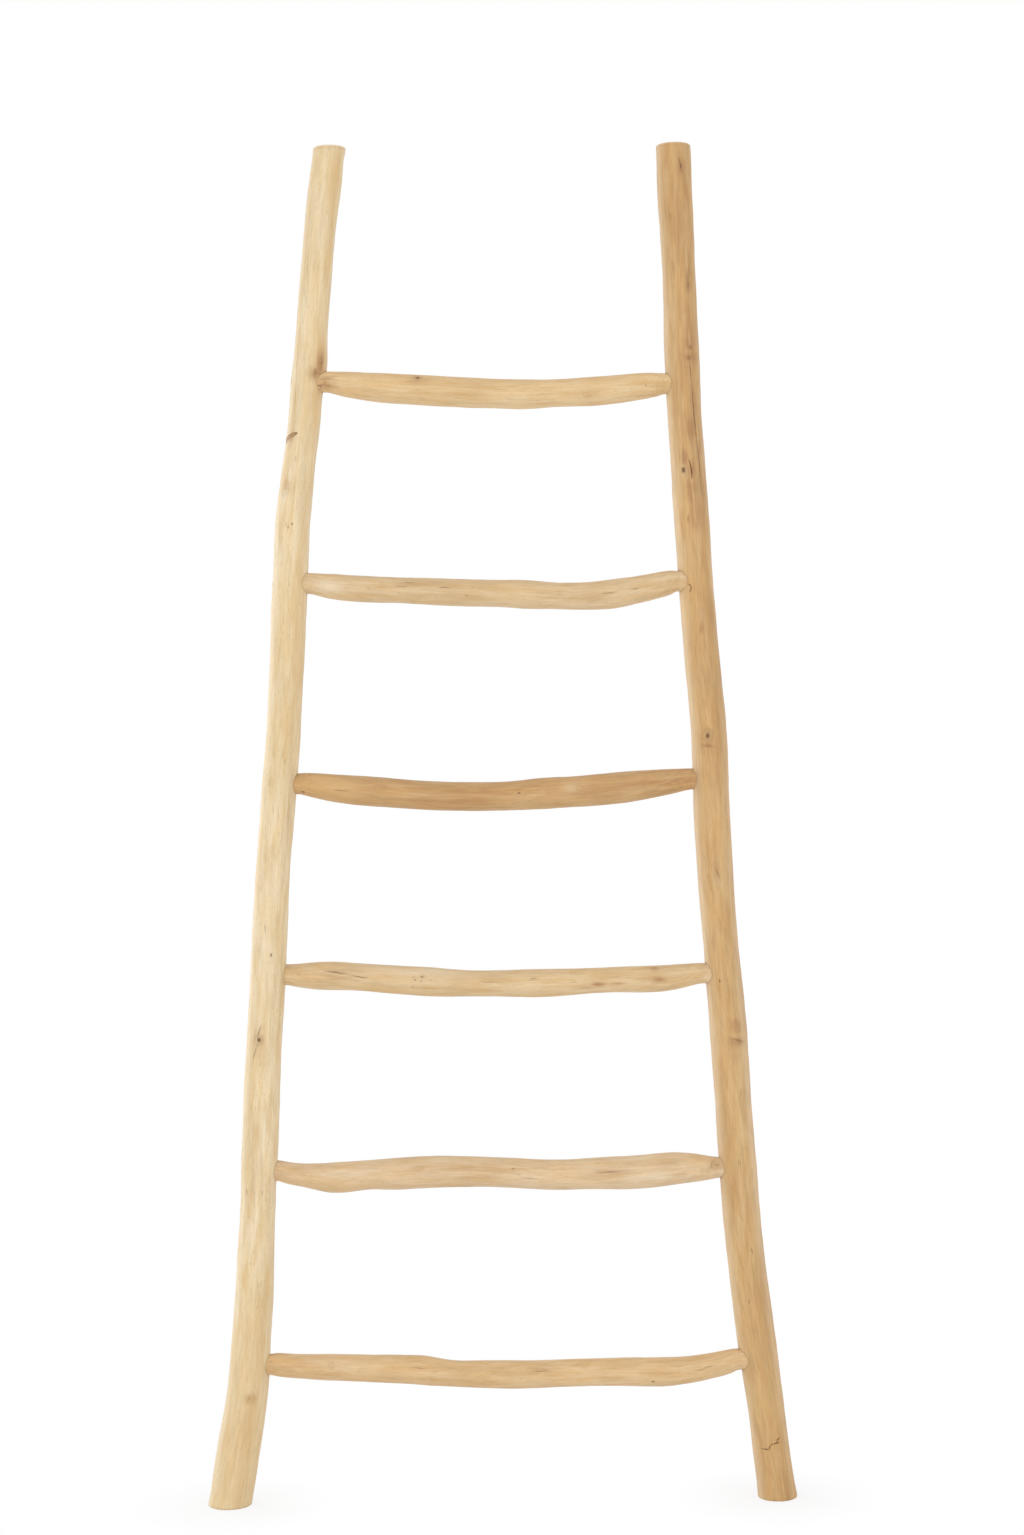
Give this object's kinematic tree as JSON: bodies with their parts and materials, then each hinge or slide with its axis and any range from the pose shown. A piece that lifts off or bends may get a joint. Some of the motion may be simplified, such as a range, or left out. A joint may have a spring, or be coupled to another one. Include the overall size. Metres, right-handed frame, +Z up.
{
  "type": "leaning ladder rack",
  "caption": "Leaning towel ladder of peeled, crooked teak branches; whittled rungs set in round blind mortises.",
  "frame": {"origin": "on the floor, midway between the centres of the two feet", "axes": "+X along the rungs towards the right stile, +Y away from the viewer towards the wall, +Z up along the ladder"},
  "size_m": [0.7809, 0.065, 1.8],
  "materials": {
    "pale_branch": "peeled, sanded and unsealed pale teak branch, fine lengthwise grain",
    "golden_branch": "peeled and sanded golden teak branch with knots and drying cracks",
    "light_rung": "peeled and sanded light teak branch, whittled ends",
    "amber_rung": "peeled and sanded amber teak branch, whittled ends",
    "plug_teak": "teak plug sanded flush",
    "screw_steel": "zinc-plated steel wood screw"
  },
  "bodies": {
    "root": {"left_stile": "pale_branch", "right_stile": "golden_branch", "rung_1": "amber_rung", "rung_2": "light_rung", "rung_3": "light_rung", "rung_4": "amber_rung", "rung_5": "light_rung", "rung_6": "light_rung", "screw_left_1": "screw_steel", "plug_left_1": "plug_teak", "screw_left_2": "screw_steel", "plug_left_2": "plug_teak", "screw_left_3": "screw_steel", "plug_left_3": "plug_teak", "screw_left_4": "screw_steel", "plug_left_4": "plug_teak", "screw_left_5": "screw_steel", "plug_left_5": "plug_teak", "screw_left_6": "screw_steel", "plug_left_6": "plug_teak", "screw_right_1": "screw_steel", "plug_right_1": "plug_teak", "screw_right_2": "screw_steel", "plug_right_2": "plug_teak", "screw_right_3": "screw_steel", "plug_right_3": "plug_teak", "screw_right_4": "screw_steel", "plug_right_4": "plug_teak", "screw_right_5": "screw_steel", "plug_right_5": "plug_teak", "screw_right_6": "screw_steel", "plug_right_6": "plug_teak"}
  },
  "joints": []
}
